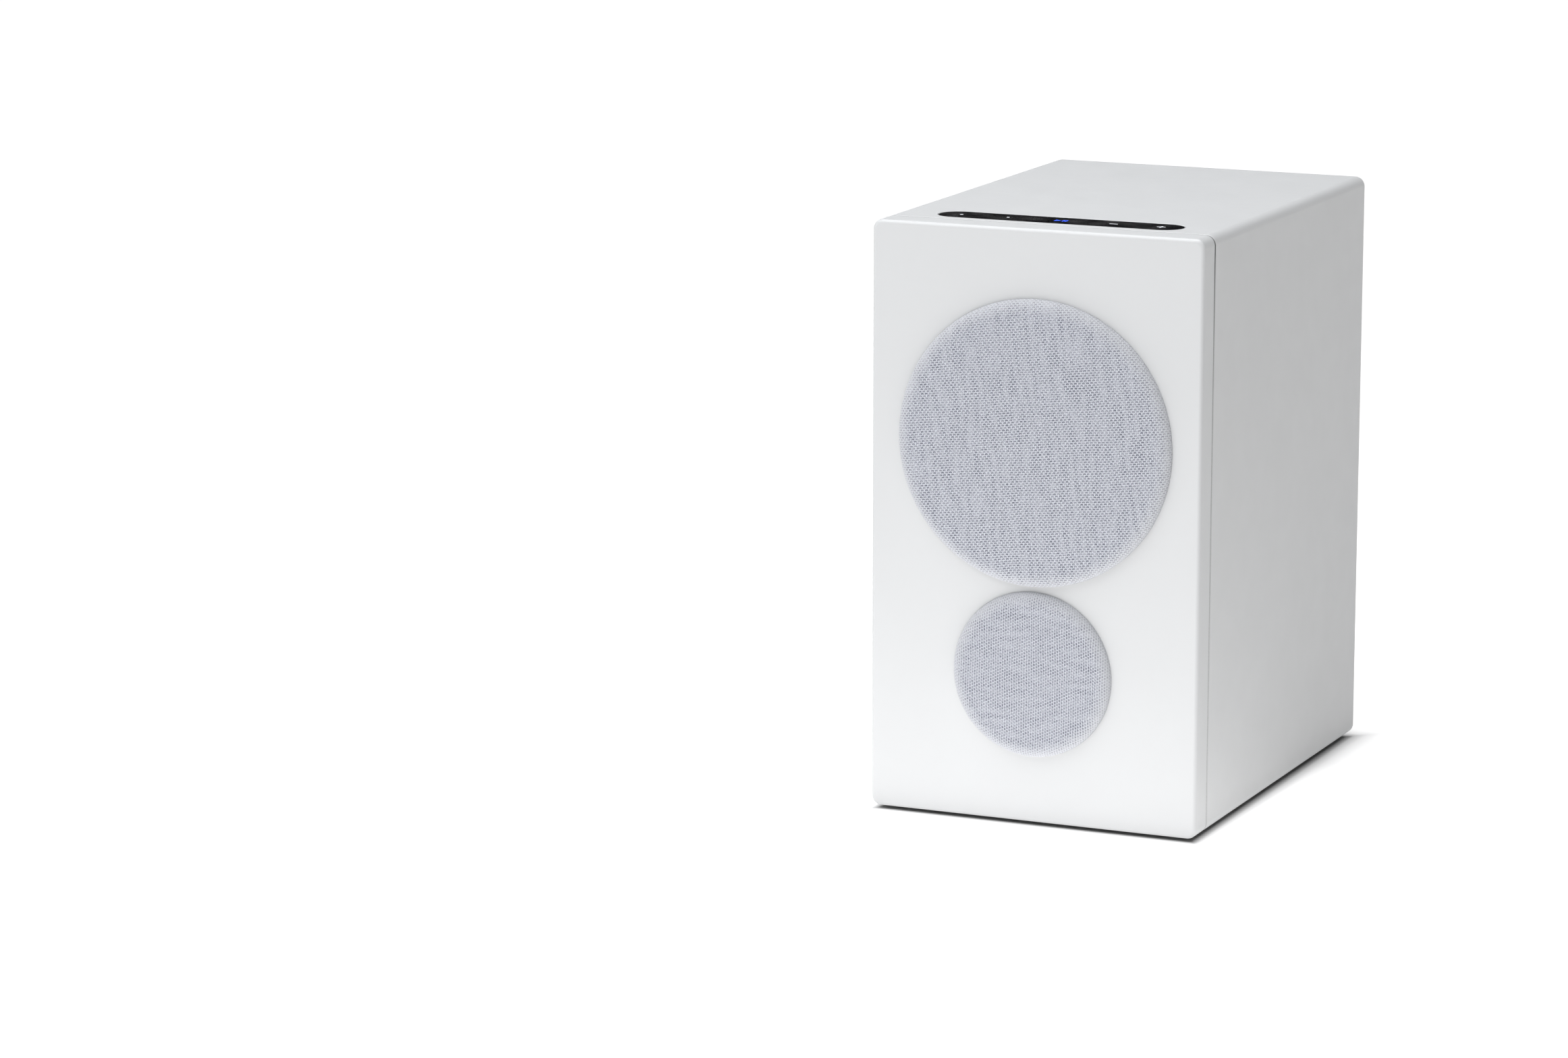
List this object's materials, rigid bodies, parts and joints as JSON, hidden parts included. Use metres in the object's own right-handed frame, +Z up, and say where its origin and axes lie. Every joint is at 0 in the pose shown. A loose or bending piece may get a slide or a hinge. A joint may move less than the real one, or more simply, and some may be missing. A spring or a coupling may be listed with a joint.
{
  "type": "bookshelf speaker",
  "caption": "Powered bookshelf speaker: white lacquered box, separate baffle, round pull-off cloth grilles over woofer and dome tweeter, top touch strip, rear amplifier plate and port.",
  "frame": {"origin": "under the middle of the whole speaker, on the surface its feet stand on", "axes": "+Z up, the front with its grilles faces -Y, +X is to the right seen from the front"},
  "size_m": [0.175, 0.263, 0.302],
  "materials": {
    "satin_lacquer": "satin white lacquer on fibreboard",
    "fibreboard": "raw fibreboard",
    "seal_rubber": "matt black foam rubber",
    "foot_rubber": "matt",
    "grille_cloth": "pale blue-grey knitted mesh",
    "grille_plastic": "fine moulded grain",
    "touch_gloss": "polished black with lit symbols",
    "black_plastic": "fine moulded grain",
    "surround_rubber": "satin rubber",
    "cone_paper": "pressed black paper",
    "dome_fabric": "coated black textile",
    "spider_cloth": "amber impregnated cloth",
    "coil_copper": "enamelled winding",
    "ferrite": "dull ferrite",
    "zinc_steel": "zinc plated",
    "black_steel": "black powder coat",
    "black_aluminium": "black anodised",
    "circuit_board": "green solder mask",
    "socket_red": "gloss",
    "pale_plastic": "gloss",
    "wadding": "loose polyester wadding"
  },
  "bodies": {
    "cabinet": {"cabinet_shell": "satin_lacquer", "front_baffle": "satin_lacquer", "rear_panel": "satin_lacquer", "cabinet_brace": "fibreboard", "baffle_seal": "seal_rubber", "woofer_gasket": "seal_rubber", "foot_front_left": "foot_rubber", "foot_front_right": "foot_rubber", "foot_rear_left": "foot_rubber", "foot_rear_right": "foot_rubber", "touch_strip": "touch_gloss", "touch_tray": "black_plastic", "woofer_terminals": "black_plastic", "tweeter_chamber": "black_plastic", "tweeter_faceplate": "black_plastic", "port_tube": "black_plastic", "power_inlet": "black_plastic", "rocker_housing": "black_plastic", "woofer_lead": "black_plastic", "tweeter_lead": "black_plastic", "woofer_surround": "surround_rubber", "tweeter_surround": "dome_fabric", "woofer_spider": "spider_cloth", "woofer_magnet": "ferrite", "tweeter_magnet": "ferrite", "woofer_top_plate": "zinc_steel", "woofer_back_plate": "zinc_steel", "tweeter_motor_cup": "zinc_steel", "woofer_basket": "black_steel", "power_supply": "black_steel", "woofer_screw_1": "black_steel", "woofer_screw_2": "black_steel", "woofer_screw_3": "black_steel", "woofer_screw_4": "black_steel", "tweeter_screw_1": "black_steel", "tweeter_screw_2": "black_steel", "tweeter_screw_3": "black_steel", "amp_plate_screw_1": "black_steel", "amp_plate_screw_2": "black_steel", "amp_plate_screw_3": "black_steel", "amp_plate_screw_4": "black_steel", "amp_plate": "black_aluminium", "heatsink": "black_aluminium", "touch_board": "circuit_board", "amp_board": "circuit_board", "audio_socket_right": "socket_red", "audio_socket_left": "pale_plastic", "touch_ribbon": "pale_plastic", "damping_wadding": "wadding"},
    "woofer_diaphragm": {"woofer_cone": "cone_paper", "woofer_dust_cap": "cone_paper", "woofer_voice_coil": "coil_copper"},
    "tweeter_diaphragm": {"tweeter_dome": "dome_fabric"},
    "woofer_grille": {"woofer_grille_frame": "grille_plastic", "woofer_grille_cloth": "grille_cloth"},
    "tweeter_grille": {"tweeter_grille_frame": "grille_plastic", "tweeter_grille_cloth": "grille_cloth"},
    "power_switch": {"power_rocker": "black_plastic"},
    "pairing_key": {"pairing_button": "black_plastic"},
    "channel_selector": {"channel_switch": "pale_plastic"}
  },
  "joints": [
    {"name": "woofer_excursion", "type": "slide", "parent": "cabinet", "child": "woofer_diaphragm", "axis": [0, -1, 0], "range_m": [-0.004, 0.004], "stiffness_N_per_m": 900, "deforming": ["woofer_surround", "woofer_spider"]},
    {"name": "tweeter_excursion", "type": "slide", "parent": "cabinet", "child": "tweeter_diaphragm", "axis": [0, -1, 0], "range_m": [-0.0003, 0.0003], "stiffness_N_per_m": 400, "deforming": ["tweeter_surround"]},
    {"name": "woofer_grille_pull", "type": "slide", "parent": "cabinet", "child": "woofer_grille", "axis": [0, -1, 0], "range_m": [0, 0.03]},
    {"name": "tweeter_grille_pull", "type": "slide", "parent": "cabinet", "child": "tweeter_grille", "axis": [0, -1, 0], "range_m": [0, 0.03]},
    {"name": "power_rocker_tilt", "type": "hinge", "parent": "cabinet", "child": "power_switch", "pos_m": [0.034, 0.1228, 0.048], "axis": [1, 0, 0], "range_deg": [0, 16]},
    {"name": "pairing_button_press", "type": "slide", "parent": "cabinet", "child": "pairing_key", "axis": [0, -1, 0], "range_m": [0, 0.0012], "stiffness_N_per_m": 300},
    {"name": "channel_switch_slide", "type": "slide", "parent": "cabinet", "child": "channel_selector", "axis": [1, 0, 0], "range_m": [0, 0.004]}
  ]
}
